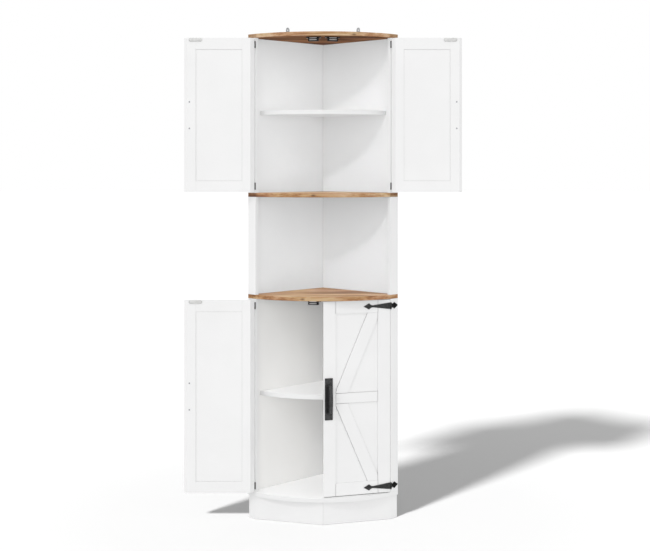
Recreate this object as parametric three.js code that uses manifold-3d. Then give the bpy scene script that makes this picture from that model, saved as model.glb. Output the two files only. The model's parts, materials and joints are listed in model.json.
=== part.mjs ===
// A painted corner cupboard: a cabinet with two doors below, an open niche, and a cabinet with two
// doors above, on a plinth. Two back walls meet square in the corner of the room, and every board is
// cut to one quarter-round outline. Four wooden-framed doors hang on strap hinges.
//
// The plan is drawn with the room's corner at the origin: +X to the right, -Y towards the room, +Z up.
// Lengths are millimetres. The finished group is moved so that its origin is at the middle of its base.

import * as THREE from 'three';
import Module from 'manifold-3d';
import { mergeVertices } from 'three/addons/utils/BufferGeometryUtils.js';

const wasm = await Module();
wasm.setup();

// Stock and clearances.
const boardThickness = 15; // melamine-faced board, used for every flat piece
const seatGap = 0.3; // between two pieces that seat on each other
const cutOverrun = 1; // how far a cutting tool runs past the face it cuts
const holeSides = 8; // flat sides of a drawn screw hole
const curveSteps = 5; // straight steps in a drawn curve of the ironwork

// Plan of the cupboard.
const wallRun = 395; // back wall, from the room's corner to its free end
const stileWidth = 41; // upright that closes the free end of a wall
const boardArcSteps = 40; // straight steps in the curved front of a board

// Heights, from the floor up.
const plinthHeight = 85;
const lowerHeight = 717; // clear height between base board and counter
const nicheHeight = 363;
const upperHeight = 575;
const lowerShelfRise = 367; // top of the shelf above the base board
const upperShelfRise = 306; // top of the shelf above the middle board

// Plinth, set back under the base board.
const plinthSideSetback = 5;
const plinthFrontSetback = 6;

// Shelves.
const shelfSetback = 32.7; // from a stile's inner face to the shelf's end
const shelfEnd = 20; // straight end of the shelf, square to the wall

// Doors.
const doorTiltDegrees = 18; // a closed door against the line of the room's diagonal
const openDoorDegrees = 162; // an opened door at rest
const doorThickness = 15;
const doorEndGap = 2; // above and below a door
const doorHingeGap = 1.5; // between a door's hinge edge and the stile
const doorMeetingGap = 2; // between the two closed doors
const doorStileWidth = 48;
const doorRailWidth = 46;
const hingeEdgeBevel = 14.5; // how far the hinge edge is cut back at the inner face
const meetingEdgeBevel = 11; // the same at the edge where the doors meet
const panelRebate = 3; // how far the panel reaches behind the frame's face
const panelRecess = 5.5; // from the frame's outer face to the panel
const panelThickness = 7.5;
const trimRecess = 0.5; // from the frame's outer face to the mid rail and braces
const trimGap = 1.2; // open line along the mid rail and braces
const trimHousing = 1.5; // how deep the mid rail and braces are let into the panel
const midRailWidth = 36;
const braceWidth = 44;
const braceFootInset = 22; // brace centre line from the handle stile, at the mid rail
const braceHeadInset = 15.5; // brace centre line from the hinge stile, at the outer rail
const jointLineWidth = 1.4; // open line where a rail meets a stile
const jointLineDepth = 3.5; // at the outer face
const innerLineDepth = 0.6;

// Strap hinges.
const barrelRadius = 2.4;
const barrelHeight = 25;
const barrelSides = 12;
const strapBarrelHeight = 11; // the middle part of the barrel, which turns with the door
const barrelGap = 0.4; // between the parts of the barrel
const pinRadius = 1.1;
const pinClearance = 0.25;
const hingePlate = 2; // thickness of strap and leaf
const barrelRelief = 0.6; // clear of a turning barrel
const screwHoleRadius = 2.1;
const strapRootHalf = 12.2; // half height where the strap is widest
const strapRootCorner = 5;
const strapNeckAt = 70;
const strapNeckHalf = 3.7;
const strapSpearAt = 85.5;
const strapSpearHalf = 11.3;
const strapTipAt = 107;
const strapRootHoleAt = 16;
const strapRootHoleRise = 6;
const strapMiddleHoleAt = 40;
const leafShoulderAt = 5;
const leafNeckAt = 9;
const leafNeckHalf = 5.4;
const leafSpearAt = 20.5;
const leafSpearHalf = 12;
const leafTipAt = 37.8;
const leafHoleAt = 21.5;
const leafHoleRise = 4.6;

// Door handles, one forging each.
const handleInset = 21; // centre line from the meeting edge of the door
const handlePlateWidth = 30;
const handlePlateHeight = 153;
const handlePlateThickness = 2.5;
const handlePlateBevel = 0.7;
const gripRise = 29; // height of the grip's back over the door
const gripBow = 4; // how much the middle of the grip bows out
const gripThickness = 6;
const gripWidth = 13;
const gripEdgeBevel = 1.8;
const gripFootAt = 52; // outside of a foot, from the middle of the handle
const gripShoulderAt = 34; // where the bend of the foot ends
const gripCurveSteps = 6;

// Magnetic catches and their strike plates.
const strikeInset = 43.5; // centre from the meeting edge of the door
const strikeLength = 50;
const strikeHeight = 13;
const strikeThickness = 1.5;
const strikeDrop = 1.2; // below the top edge of the door
const strikeHoleSpacing = 30;
const strikeArcSteps = 8;
const catchPlay = 0.6; // between a catch and the strike plate of a closed door
const catchLength = 38;
const catchDepth = 14;
const catchHeight = 17;
const catchEarDepth = 10;
const catchEarThickness = 4.5;
const catchMouthLength = 30;
const catchMouthHeight = 10;
const catchMouthDepth = 2.5;
const catchHoleSpacing = 50;
const catchEarMargin = 3; // from the middle of a screw hole to the end of its ear

// Steel brackets that hold the cupboard to the room's walls.
const bracketWidth = 17;
const bracketThickness = 2;
const bracketRise = 41;
const bracketFoot = 26;
const bracketCorner = 5; // at the end of the foot
const bracketHoleRadius = 3;
const bracketHoleRise = 31;
const bracketFootHoleAt = 16;
const bracketAlong = 192.5; // along the wall, from the room's corner

// Finishes.
const whiteBoard = new THREE.MeshStandardMaterial({ color: 0xefeeeb, roughness: 0.5, metalness: 0 });
const oakBoard = new THREE.MeshStandardMaterial({ color: 0xbf9263, roughness: 0.55, metalness: 0 });
const blackIron = new THREE.MeshStandardMaterial({ color: 0x2b2a29, roughness: 0.6, metalness: 0.4 });
const platedSteel = new THREE.MeshStandardMaterial({ color: 0x8f9194, roughness: 0.4, metalness: 0.9 });
const blackPlastic = new THREE.MeshStandardMaterial({ color: 0x1d1d1f, roughness: 0.5, metalness: 0 });

// Levels.
const baseLevel = plinthHeight;
const lowerFloor = baseLevel + boardThickness;
const counterLevel = lowerFloor + lowerHeight;
const nicheFloor = counterLevel + boardThickness;
const middleLevel = nicheFloor + nicheHeight;
const upperFloor = middleLevel + boardThickness;
const topLevel = upperFloor + upperHeight;
const cupboardTop = topLevel + boardThickness;

// Solids from closed geometries, for joining and cutting.
function solidOf(geometry) {
  const bare = geometry.clone();
  bare.deleteAttribute('normal');
  bare.deleteAttribute('uv');
  const merged = mergeVertices(bare);
  return new wasm.Manifold(new wasm.Mesh({
    numProp: 3,
    vertProperties: new Float32Array(merged.attributes.position.array),
    triVerts: new Uint32Array(merged.index.array),
  }));
}

function geometryOf(solid) {
  const mesh = solid.getMesh();
  const geometry = new THREE.BufferGeometry();
  geometry.setAttribute('position', new THREE.BufferAttribute(mesh.vertProperties, 3));
  geometry.setIndex(new THREE.BufferAttribute(mesh.triVerts, 1));
  geometry.computeVertexNormals();
  return geometry;
}

function join(...geometries) {
  return geometryOf(geometries.map(solidOf).reduce((whole, piece) => whole.add(piece)));
}

function cut(geometry, ...tools) {
  return geometryOf(tools.map(solidOf).reduce((left, tool) => left.subtract(tool), solidOf(geometry)));
}

function overlap(first, second) {
  return geometryOf(solidOf(first).intersect(solidOf(second)));
}

// A box from its lowest to its highest corner.
function block([x0, y0, z0], [x1, y1, z1]) {
  const box = new THREE.BoxGeometry(x1 - x0, y1 - y0, z1 - z0);
  return box.translate((x0 + x1) / 2, (y0 + y1) / 2, (z0 + z1) / 2);
}

// An outline in plan, pulled up from level 0.
function pulledUp(shape, height, curveSegments = 1) {
  return new THREE.ExtrudeGeometry(shape, { depth: height, bevelEnabled: false, curveSegments });
}

// An upright plate: the outline's x and y become X and Z, and its back lies in the plane Y = 0.
function uprightPlate(shape, thickness, curveSegments = 1) {
  return pulledUp(shape, thickness, curveSegments).rotateX(Math.PI / 2).translate(0, thickness, 0);
}

// A round bar along Z, centred on the axis.
function roundBar(radius, height, sides) {
  return new THREE.CylinderGeometry(radius, radius, height, sides).rotateX(Math.PI / 2);
}

// Round holes through an upright plate that stands on the plane Y = 0 or in front of it, at places [x, z].
function drilled(plate, radius, places) {
  plate.computeBoundingBox();
  const { min, max } = plate.boundingBox;
  const length = max.y - min.y + cutOverrun * 2;
  return cut(plate, ...places.map(([x, z]) => (
    new THREE.CylinderGeometry(radius, radius, length, holeSides).translate(x, (min.y + max.y) / 2, z)
  )));
}

// A line in plan is its outward normal and its reach, the distance from the origin along that normal.
function lineThrough(normal, point) {
  return { normal, reach: normal.dot(point) };
}

function offset(line, distance) {
  return { normal: line.normal, reach: line.reach + distance };
}

function meeting(a, b) {
  const cross = a.normal.x * b.normal.y - a.normal.y * b.normal.x;
  return new THREE.Vector2(
    (a.reach * b.normal.y - b.reach * a.normal.y) / cross,
    (b.reach * a.normal.x - a.reach * b.normal.x) / cross,
  );
}

// Lines of the right half of the plan. The left half is its mirror image.
const doorTilt = THREE.MathUtils.degToRad(doorTiltDegrees);
const wallTurn = Math.PI / 4; // each wall stands at 45 degrees to the room's diagonal
const endNormal = new THREE.Vector2(Math.cos(wallTurn), -Math.sin(wallTurn));
const backNormal = new THREE.Vector2(Math.sin(wallTurn), Math.cos(wallTurn));
const doorNormal = new THREE.Vector2(Math.sin(doorTilt), -Math.cos(doorTilt));
const centreLine = { normal: new THREE.Vector2(-1, 0), reach: 0 };
const endLine = { normal: endNormal, reach: wallRun };
const backLine = { normal: backNormal, reach: 0 };
const stileTip = meeting(endLine, offset(backLine, -stileWidth));
const doorLine = lineThrough(doorNormal, stileTip);

// The hinge pin stands clear of the stile's face and of the closed door's face alike.
const pinStandoff = barrelRadius + seatGap;
const pinPoint = meeting(offset(endLine, pinStandoff), offset(doorLine, pinStandoff));
const doorAlong = new THREE.Vector2(-Math.cos(doorTilt), -Math.sin(doorTilt));
const meetingPoint = meeting(doorLine, offset(centreLine, -doorMeetingGap / 2));

// Places on a door, from the pin along the door: its hinge edge, its meeting edge and its two faces.
const hingeEdge = stileTip.clone().sub(pinPoint).dot(doorAlong) + doorHingeGap;
const meetingEdge = meetingPoint.clone().sub(pinPoint).dot(doorAlong);
const outerFace = -pinStandoff;
const innerFace = outerFace - doorThickness;

// The quarter-round outline shared by the boards and, smaller, by the shelves.
function quarterRound(run, end) {
  const arcRadius = Math.hypot(run, end);
  const arcStart = -wallTurn - Math.atan2(end, run);
  const shape = new THREE.Shape();
  shape.moveTo(0, 0);
  shape.lineTo(run * Math.cos(wallTurn), -run * Math.sin(wallTurn));
  shape.absarc(0, 0, arcRadius, arcStart, -Math.PI - arcStart, true);
  shape.lineTo(-run * Math.cos(wallTurn), -run * Math.sin(wallTurn));
  shape.closePath();
  return shape;
}

function piece(parent, name, geometry, material, level = 0) {
  const mesh = new THREE.Mesh(geometry, material);
  mesh.name = name;
  mesh.position.z = level;
  parent.add(mesh);
  return mesh;
}

const cupboard = new THREE.Group();
const rightHalf = new THREE.Group();
const leftHalf = new THREE.Group();
leftHalf.scale.x = -1;
cupboard.add(rightHalf, leftHalf);

// In a wall's frame +X runs along the wall away from the room's corner and -Y points into the cupboard.
function wallFrame(half) {
  const frame = new THREE.Group();
  frame.rotation.z = -wallTurn;
  half.add(frame);
  return frame;
}

// In a door's frame +X runs from the pin to the meeting edge and +Y points out of the door's face.
function doorFrame(half, openDegrees) {
  const frame = new THREE.Group();
  frame.position.set(pinPoint.x, pinPoint.y, 0);
  frame.rotation.z = Math.PI + doorTilt + THREE.MathUtils.degToRad(openDegrees);
  half.add(frame);
  return frame;
}

// In a leaf's frame +X runs from the pin across the stile's face and +Y points out of it.
function leafFrame(half) {
  const frame = new THREE.Group();
  frame.position.set(pinPoint.x, pinPoint.y, 0);
  frame.rotation.z = Math.PI / 2 - wallTurn;
  frame.scale.y = -1;
  half.add(frame);
  return frame;
}

// Boards.
const board = pulledUp(quarterRound(wallRun, stileWidth), boardThickness, boardArcSteps);
piece(cupboard, 'base_board', board, whiteBoard, baseLevel);
piece(cupboard, 'counter_board', board, oakBoard, counterLevel);
piece(cupboard, 'middle_board', board, oakBoard, middleLevel);
piece(cupboard, 'top_board', board, oakBoard, topLevel);

// Shelves lie in the corner between the two walls.
const shelfCorner = -(boardThickness + seatGap) / Math.sin(wallTurn);
const shelfRun = wallRun - boardThickness * 2 - seatGap - shelfSetback;
const shelfBoard = pulledUp(quarterRound(shelfRun, shelfEnd), boardThickness, boardArcSteps)
  .translate(0, shelfCorner, 0);
piece(cupboard, 'lower_shelf', shelfBoard, whiteBoard, lowerFloor + lowerShelfRise - boardThickness);
piece(cupboard, 'upper_shelf', shelfBoard, whiteBoard, upperFloor + upperShelfRise - boardThickness);

// The right wall runs through to the room's corner, and the left wall butts against it.
function wallBoard(start, end, height) {
  return block([start, -boardThickness, 0], [end, 0, height]);
}

function stileBoard(height) {
  return block([wallRun - boardThickness, -stileWidth, 0], [wallRun, 0, height]);
}

// The plinth's front is one mitred board on each side: a return under the stile, and a facet that
// runs parallel to the closed door as far as the middle.
function plinthFront() {
  const returnOuter = offset(endLine, -plinthSideSetback);
  const facetOuter = offset(doorLine, -plinthFrontSetback);
  const returnInner = offset(returnOuter, -boardThickness);
  const facetInner = offset(facetOuter, -boardThickness);
  const middle = offset(centreLine, -seatGap / 2);
  const shape = new THREE.Shape([
    meeting(returnOuter, backLine),
    meeting(returnOuter, facetOuter),
    meeting(facetOuter, middle),
    meeting(facetInner, middle),
    meeting(returnInner, facetInner),
    meeting(returnInner, backLine),
  ].reverse());
  return pulledUp(shape, plinthHeight);
}

// The frame of a door: two stiles and two rails, glued up, with a rebate for the panel at the back.
// Its upright edges are bevelled towards the inside, so that it clears the stile and the other door.
function frameOfDoor(height) {
  const section = new THREE.Shape([
    new THREE.Vector2(hingeEdge, outerFace),
    new THREE.Vector2(hingeEdge + hingeEdgeBevel, innerFace),
    new THREE.Vector2(meetingEdge - meetingEdgeBevel, innerFace),
    new THREE.Vector2(meetingEdge, outerFace),
  ]);
  const sight = block(
    [hingeEdge + doorStileWidth, innerFace - cutOverrun, doorRailWidth],
    [meetingEdge - doorStileWidth, outerFace + cutOverrun, height - doorRailWidth],
  );
  const rebate = block(
    [hingeEdge + doorStileWidth - panelRebate, innerFace - cutOverrun, doorRailWidth - panelRebate],
    [
      meetingEdge - doorStileWidth + panelRebate,
      outerFace - panelRecess,
      height - doorRailWidth + panelRebate,
    ],
  );
  // Open lines where the rails meet the stiles, at the sight edge outside and at the rebate inside.
  const lines = (step, inner, outer) => (
    [hingeEdge + doorStileWidth - step, meetingEdge - doorStileWidth + step].flatMap((place) => (
      [[-cutOverrun, doorRailWidth - step], [height - doorRailWidth + step, height + cutOverrun]]
        .map(([low, high]) => (
          block([place - jointLineWidth / 2, inner, low], [place + jointLineWidth / 2, outer, high])
        ))
    ))
  );
  const outerLines = lines(0, outerFace - jointLineDepth, outerFace + cutOverrun);
  const innerLines = lines(panelRebate, innerFace - cutOverrun, innerFace + innerLineDepth);
  return cut(pulledUp(section, height), sight, rebate, ...outerLines, ...innerLines);
}

// The panel, with a mid rail and two diagonal braces let into its face. Each brace runs from the
// mid rail's handle end out to the hinge stile, where it meets the outer rail. Their housings in
// the panel are a little wider.
function panelOfDoor(height) {
  const left = hingeEdge + doorStileWidth;
  const right = meetingEdge - doorStileWidth;
  const panelFront = outerFace - panelRecess - seatGap;
  const trimFront = outerFace - trimRecess;
  const reach = panelRebate - seatGap;
  const panel = block(
    [left - reach, panelFront - panelThickness, doorRailWidth - reach],
    [right + reach, panelFront, height - doorRailWidth + reach],
  );
  const midLow = (height - midRailWidth) / 2;
  const midHigh = midLow + midRailWidth;
  const foot = new THREE.Vector2(right - braceFootInset, midHigh);
  const head = new THREE.Vector2(left + braceHeadInset, height - doorRailWidth);
  const length = head.distanceTo(foot) * 2;
  const lean = Math.atan2(head.x - foot.x, head.y - foot.y);
  const trim = (wider, inner, outer) => {
    const side = trimGap - wider;
    const headGap = Math.max(seatGap - wider, 0);
    const midRail = block([left + side, inner, midLow - wider], [right - side, outer, midHigh + wider]);
    const field = block(
      [left + side, inner, midHigh + side],
      [right - side, outer, height - doorRailWidth - headGap],
    );
    const band = block(
      [-braceWidth / 2 - wider, inner - cutOverrun, -length / 2],
      [braceWidth / 2 + wider, outer + cutOverrun, length / 2],
    ).rotateY(lean).translate((foot.x + head.x) / 2, 0, (foot.y + head.y) / 2);
    const upperBrace = overlap(band, field);
    const lowerBrace = geometryOf(
      solidOf(upperBrace).mirror([0, 0, 1]).translate([0, 0, height]),
    );
    return [midRail, upperBrace, lowerBrace];
  };
  const housingFloor = panelFront - trimHousing;
  const housings = trim(trimGap, housingFloor, panelFront + cutOverrun);
  return join(cut(panel, ...housings), ...trim(0, housingFloor - cutOverrun, trimFront));
}

// The handle: a back plate and a bowed grip, forged in one piece.
function handleForging() {
  const halfWidth = handlePlateWidth / 2 - handlePlateBevel;
  const halfHeight = handlePlateHeight / 2 - handlePlateBevel;
  const outline = new THREE.Shape([
    new THREE.Vector2(-halfWidth, -halfHeight),
    new THREE.Vector2(halfWidth, -halfHeight),
    new THREE.Vector2(halfWidth, halfHeight),
    new THREE.Vector2(-halfWidth, halfHeight),
  ]);
  const backPlate = new THREE.ExtrudeGeometry(outline, {
    depth: handlePlateThickness - handlePlateBevel * 2,
    bevelSize: handlePlateBevel,
    bevelThickness: handlePlateBevel,
    bevelSegments: 1,
  }).rotateX(Math.PI / 2).translate(0, handlePlateThickness - handlePlateBevel, 0);

  const back = gripRise - gripThickness;
  const footInner = gripFootAt - gripThickness;
  const shoulderInner = gripShoulderAt - gripThickness / 2;
  const foot = handlePlateThickness / 2;
  const side = new THREE.Shape();
  side.moveTo(foot, -gripFootAt);
  side.quadraticCurveTo(gripRise, -gripFootAt, gripRise, -gripShoulderAt);
  side.quadraticCurveTo(gripRise + gripBow, 0, gripRise, gripShoulderAt);
  side.quadraticCurveTo(gripRise, gripFootAt, foot, gripFootAt);
  side.lineTo(foot, footInner);
  side.quadraticCurveTo(back, footInner, back, shoulderInner);
  side.quadraticCurveTo(back + gripBow, 0, back, -shoulderInner);
  side.quadraticCurveTo(back, -footInner, foot, -footInner);
  const grip = new THREE.ExtrudeGeometry(side, {
    depth: gripWidth - gripEdgeBevel * 2,
    bevelSize: gripEdgeBevel,
    bevelOffset: -gripEdgeBevel,
    bevelThickness: gripEdgeBevel,
    bevelSegments: 2,
    curveSegments: gripCurveSteps,
  });
  const outOfDoor = new THREE.Vector3(0, 1, 0);
  const upwards = new THREE.Vector3(0, 0, 1);
  const acrossDoor = new THREE.Vector3(1, 0, 0);
  grip.applyMatrix4(new THREE.Matrix4().makeBasis(outOfDoor, upwards, acrossDoor));
  grip.translate(-gripWidth / 2 + gripEdgeBevel, 0, 0);
  return join(backPlate, grip);
}

// The strike plate: a round-ended steel plate with two screw holes.
function strikePlate() {
  const half = (strikeLength - strikeHeight) / 2;
  const shape = new THREE.Shape();
  shape.absarc(half, 0, strikeHeight / 2, -Math.PI / 2, Math.PI / 2, false);
  shape.absarc(-half, 0, strikeHeight / 2, Math.PI / 2, Math.PI * 3 / 2, false);
  const plate = uprightPlate(shape, strikeThickness, strikeArcSteps);
  return drilled(plate, screwHoleRadius, [[strikeHoleSpacing / 2, 0], [-strikeHoleSpacing / 2, 0]]);
}

// The strap that turns with the door: a spear-shaped plate with the middle part of the barrel.
function hingeStrap() {
  const rootAt = barrelRadius + barrelRelief;
  const tongueHalf = strapBarrelHeight / 2;
  const shape = new THREE.Shape();
  shape.moveTo(0, -tongueHalf);
  shape.lineTo(rootAt, -tongueHalf);
  shape.lineTo(rootAt, -strapRootHalf + strapRootCorner);
  shape.quadraticCurveTo(rootAt, -strapRootHalf, rootAt + strapRootCorner, -strapRootHalf);
  shape.lineTo(strapNeckAt, -strapNeckHalf);
  shape.quadraticCurveTo((strapNeckAt + strapSpearAt) / 2, -strapNeckHalf, strapSpearAt, -strapSpearHalf);
  shape.lineTo(strapTipAt, 0);
  shape.lineTo(strapSpearAt, strapSpearHalf);
  shape.quadraticCurveTo((strapNeckAt + strapSpearAt) / 2, strapNeckHalf, strapNeckAt, strapNeckHalf);
  shape.lineTo(rootAt + strapRootCorner, strapRootHalf);
  shape.quadraticCurveTo(rootAt, strapRootHalf, rootAt, strapRootHalf - strapRootCorner);
  shape.lineTo(rootAt, tongueHalf);
  shape.lineTo(0, tongueHalf);
  const plate = uprightPlate(shape, hingePlate, curveSteps).translate(0, -barrelRadius, 0);
  const strap = drilled(plate, screwHoleRadius, [
    [strapRootHoleAt, strapRootHoleRise],
    [strapRootHoleAt, -strapRootHoleRise],
    [strapMiddleHoleAt, 0],
    [strapSpearAt, 0],
  ]);
  const barrel = roundBar(barrelRadius, strapBarrelHeight, barrelSides);
  const bore = roundBar(pinRadius + pinClearance, strapBarrelHeight + cutOverrun, barrelSides);
  return cut(join(strap, barrel), bore);
}

// The leaf on the stile: a spade-shaped plate with the two outer parts of the barrel and the pin.
function hingeLeaf() {
  const half = barrelHeight / 2;
  const slotHalf = strapBarrelHeight / 2 + barrelGap;
  const slotAt = barrelRadius + barrelRelief;
  const shape = new THREE.Shape();
  shape.moveTo(0, slotHalf);
  shape.lineTo(slotAt, slotHalf);
  shape.lineTo(slotAt, -slotHalf);
  shape.lineTo(0, -slotHalf);
  shape.lineTo(0, -half);
  shape.lineTo(leafShoulderAt, -half);
  shape.quadraticCurveTo(leafNeckAt, -leafNeckHalf, leafNeckAt, -leafNeckHalf);
  shape.lineTo(leafSpearAt, -leafSpearHalf);
  shape.lineTo(leafTipAt, 0);
  shape.lineTo(leafSpearAt, leafSpearHalf);
  shape.lineTo(leafNeckAt, leafNeckHalf);
  shape.quadraticCurveTo(leafNeckAt, leafNeckHalf, leafShoulderAt, half);
  shape.lineTo(0, half);
  const plate = uprightPlate(shape, hingePlate, curveSteps).translate(0, -barrelRadius, 0);
  const leaf = drilled(plate, screwHoleRadius, [[leafHoleAt, leafHoleRise], [leafHoleAt, -leafHoleRise]]);
  const endHeight = half - slotHalf;
  const endMiddle = (half + slotHalf) / 2;
  const upperBarrel = roundBar(barrelRadius, endHeight, barrelSides).translate(0, 0, endMiddle);
  const lowerBarrel = roundBar(barrelRadius, endHeight, barrelSides).translate(0, 0, -endMiddle);
  const pin = roundBar(pinRadius, barrelHeight - endHeight, barrelSides);
  return join(leaf, upperBarrel, lowerBarrel, pin);
}

// The catch: a plastic housing with two ears, and a mouth in front for its magnet.
function catchHousing() {
  const body = block([-catchLength / 2, -catchDepth, -catchHeight], [catchLength / 2, 0, 0]);
  const earEnd = catchHoleSpacing / 2 + catchEarMargin;
  const ears = block(
    [-earEnd, -catchDepth, -catchEarThickness],
    [earEnd, catchEarDepth - catchDepth, 0],
  );
  const mouth = block(
    [-catchMouthLength / 2, -catchMouthDepth, -(catchHeight + catchMouthHeight) / 2],
    [catchMouthLength / 2, cutOverrun, -(catchHeight - catchMouthHeight) / 2],
  );
  const holes = [-1, 1].map((sign) => (
    roundBar(screwHoleRadius, catchHeight * 2, holeSides)
      .translate(sign * catchHoleSpacing / 2, catchEarDepth / 2 - catchDepth, 0)
  ));
  return cut(join(body, ears), mouth, ...holes);
}

// The bracket: an angle of flat steel, its foot on the top board and its tab against the room's wall.
function wallBracket() {
  const tab = new THREE.Shape();
  const half = bracketWidth / 2;
  tab.moveTo(-half, 0);
  tab.lineTo(half, 0);
  tab.absarc(0, bracketRise - half, half, 0, Math.PI, false);
  const foot = new THREE.Shape();
  foot.moveTo(-half, 0);
  foot.lineTo(-half, bracketCorner - bracketFoot);
  foot.absarc(bracketCorner - half, bracketCorner - bracketFoot, bracketCorner, Math.PI, Math.PI * 3 / 2, false);
  foot.absarc(half - bracketCorner, bracketCorner - bracketFoot, bracketCorner, -Math.PI / 2, 0, false);
  foot.lineTo(half, 0);
  const upright = uprightPlate(tab, bracketThickness, curveSteps * 2).translate(0, -bracketThickness, 0);
  const flat = pulledUp(foot, bracketThickness, curveSteps);
  const footHole = roundBar(bracketHoleRadius, bracketThickness * 2 + cutOverrun, holeSides)
    .translate(0, -bracketFootHoleAt, bracketThickness / 2);
  return join(drilled(upright, bracketHoleRadius, [[0, bracketHoleRise]]), cut(flat, footHole));
}

// One section of carcass on one side: its back wall and its stile.
function carcassSide(side, wall, section, level, height) {
  const start = side === 'right' ? 0 : boardThickness + seatGap;
  const end = wallRun - boardThickness - seatGap;
  piece(wall, `${section}_${side}_wall`, wallBoard(start, end, height), whiteBoard, level);
  piece(wall, `${section}_${side}_stile`, stileBoard(height), whiteBoard, level);
}

// One door with its handle, strike plate and hinges, and its catch under the board above.
function hungDoor(side, half, section, openDegrees, level, clearHeight) {
  const height = clearHeight - doorEndGap * 2;
  const bottom = level + doorEndGap;
  const door = doorFrame(half, openDegrees);
  const leaves = leafFrame(half);
  const name = `${section}_${side}`;
  piece(door, `${name}_door_frame`, frameOfDoor(height), whiteBoard, bottom);
  piece(door, `${name}_door_panel`, panelOfDoor(height), whiteBoard, bottom);

  const handle = piece(door, `${name}_handle`, handleForging(), blackIron, bottom + height / 2);
  handle.position.x = meetingEdge - handleInset;
  handle.position.y = outerFace + seatGap;

  const strikeLevel = bottom + height - strikeDrop - strikeHeight / 2;
  const strike = piece(door, `${name}_strike_plate`, strikePlate(), platedSteel, strikeLevel);
  strike.position.x = meetingEdge - strikeInset;
  strike.position.y = innerFace - seatGap - strikeThickness;

  const hingeLevels = { bottom: bottom + doorRailWidth / 2, top: bottom + height - doorRailWidth / 2 };
  Object.entries(hingeLevels).forEach(([place, hingeLevel]) => {
    piece(door, `${name}_${place}_strap`, hingeStrap(), blackIron, hingeLevel);
    piece(leaves, `${name}_${place}_hinge_leaf`, hingeLeaf(), blackIron, hingeLevel);
  });

  const closed = doorFrame(half, 0);
  const magnet = piece(closed, `${name}_catch`, catchHousing(), blackPlastic, level + clearHeight);
  magnet.position.x = meetingEdge - strikeInset;
  magnet.position.y = innerFace - seatGap - strikeThickness - catchPlay;
}

[['right', rightHalf, 0], ['left', leftHalf, openDoorDegrees]].forEach(([side, half, lowerOpening]) => {
  const wall = wallFrame(half);
  const plinthStart = side === 'right' ? 0 : boardThickness + seatGap;
  const plinthEnd = wallRun - plinthSideSetback - boardThickness - seatGap;
  piece(wall, `plinth_${side}_side`, wallBoard(plinthStart, plinthEnd, plinthHeight), whiteBoard);
  piece(half, `plinth_${side}_front`, plinthFront(), whiteBoard);

  carcassSide(side, wall, 'lower', lowerFloor, lowerHeight);
  carcassSide(side, wall, 'niche', nicheFloor, nicheHeight);
  carcassSide(side, wall, 'upper', upperFloor, upperHeight);

  hungDoor(side, half, 'lower', lowerOpening, lowerFloor, lowerHeight);
  hungDoor(side, half, 'upper', openDoorDegrees, upperFloor, upperHeight);

  const bracket = piece(wall, `${side}_wall_bracket`, wallBracket(), platedSteel, cupboardTop);
  bracket.position.x = bracketAlong;
});

// The origin of the part is at the middle of its base.
const bounds = new THREE.Box3().setFromObject(cupboard);
const middle = bounds.getCenter(new THREE.Vector3());
cupboard.position.set(-middle.x, -middle.y, -bounds.min.z);
cupboard.updateMatrixWorld(true);

export default cupboard;
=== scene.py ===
# Corner cupboard: white boards, oak-look boards and black forged door furniture.
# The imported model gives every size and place. This script gives the looks.

import json
import math

import bmesh
import bpy
from mathutils import Matrix, Vector


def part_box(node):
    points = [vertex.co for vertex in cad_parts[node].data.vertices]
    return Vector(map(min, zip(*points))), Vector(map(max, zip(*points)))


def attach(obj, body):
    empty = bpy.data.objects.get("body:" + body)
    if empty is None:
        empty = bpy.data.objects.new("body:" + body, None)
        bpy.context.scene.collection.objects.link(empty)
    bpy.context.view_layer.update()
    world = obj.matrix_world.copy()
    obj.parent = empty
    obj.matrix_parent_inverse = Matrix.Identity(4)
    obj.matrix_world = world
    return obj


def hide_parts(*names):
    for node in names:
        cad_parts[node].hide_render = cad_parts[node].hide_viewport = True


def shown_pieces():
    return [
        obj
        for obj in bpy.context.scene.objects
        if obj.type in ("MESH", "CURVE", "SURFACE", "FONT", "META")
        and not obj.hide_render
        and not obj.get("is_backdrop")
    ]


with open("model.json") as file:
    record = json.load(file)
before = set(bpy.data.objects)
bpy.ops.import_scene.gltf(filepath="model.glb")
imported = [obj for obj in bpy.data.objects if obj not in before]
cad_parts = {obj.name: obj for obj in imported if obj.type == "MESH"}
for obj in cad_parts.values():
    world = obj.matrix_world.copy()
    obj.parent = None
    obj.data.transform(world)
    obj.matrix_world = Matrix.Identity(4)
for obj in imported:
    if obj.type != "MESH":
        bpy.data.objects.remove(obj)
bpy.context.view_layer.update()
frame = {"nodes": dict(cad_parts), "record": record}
mm = 0.001


# Small helpers for meshes. Their lengths are in millimetres.

mergeDistance = 0.001 * mm
smoothAngle = math.radians(35)
fullRound = 0.999  # of half a strip's width: rounds its end and keeps the two corners just apart


def bmeshFrom(corners):
    # a flat face in the plane y = 0, from its corners (x, z)
    bm = bmesh.new()
    bm.faces.new([bm.verts.new((x * mm, 0, z * mm)) for x, z in corners])
    return bm


def bevel(bm, parts, width, segments, affect="EDGES"):
    # rounds these edges of a solid, or these corners of a flat face
    bmesh.ops.bevel(bm, geom=parts, offset=width * mm, offset_type="OFFSET", affect=affect,
                    segments=segments, profile=0.5, material=-1, clamp_overlap=True)


def roundCorners(bm, places, radius, segments):
    # rounds the corners of a flat face that lie at these places
    picked = []
    for x, z in places:
        spot = Vector((x * mm, 0, z * mm))
        picked.append(min(bm.verts, key=lambda v: (v.co - spot).length))
    bevel(bm, picked, radius, segments, "VERTICES")


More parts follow.
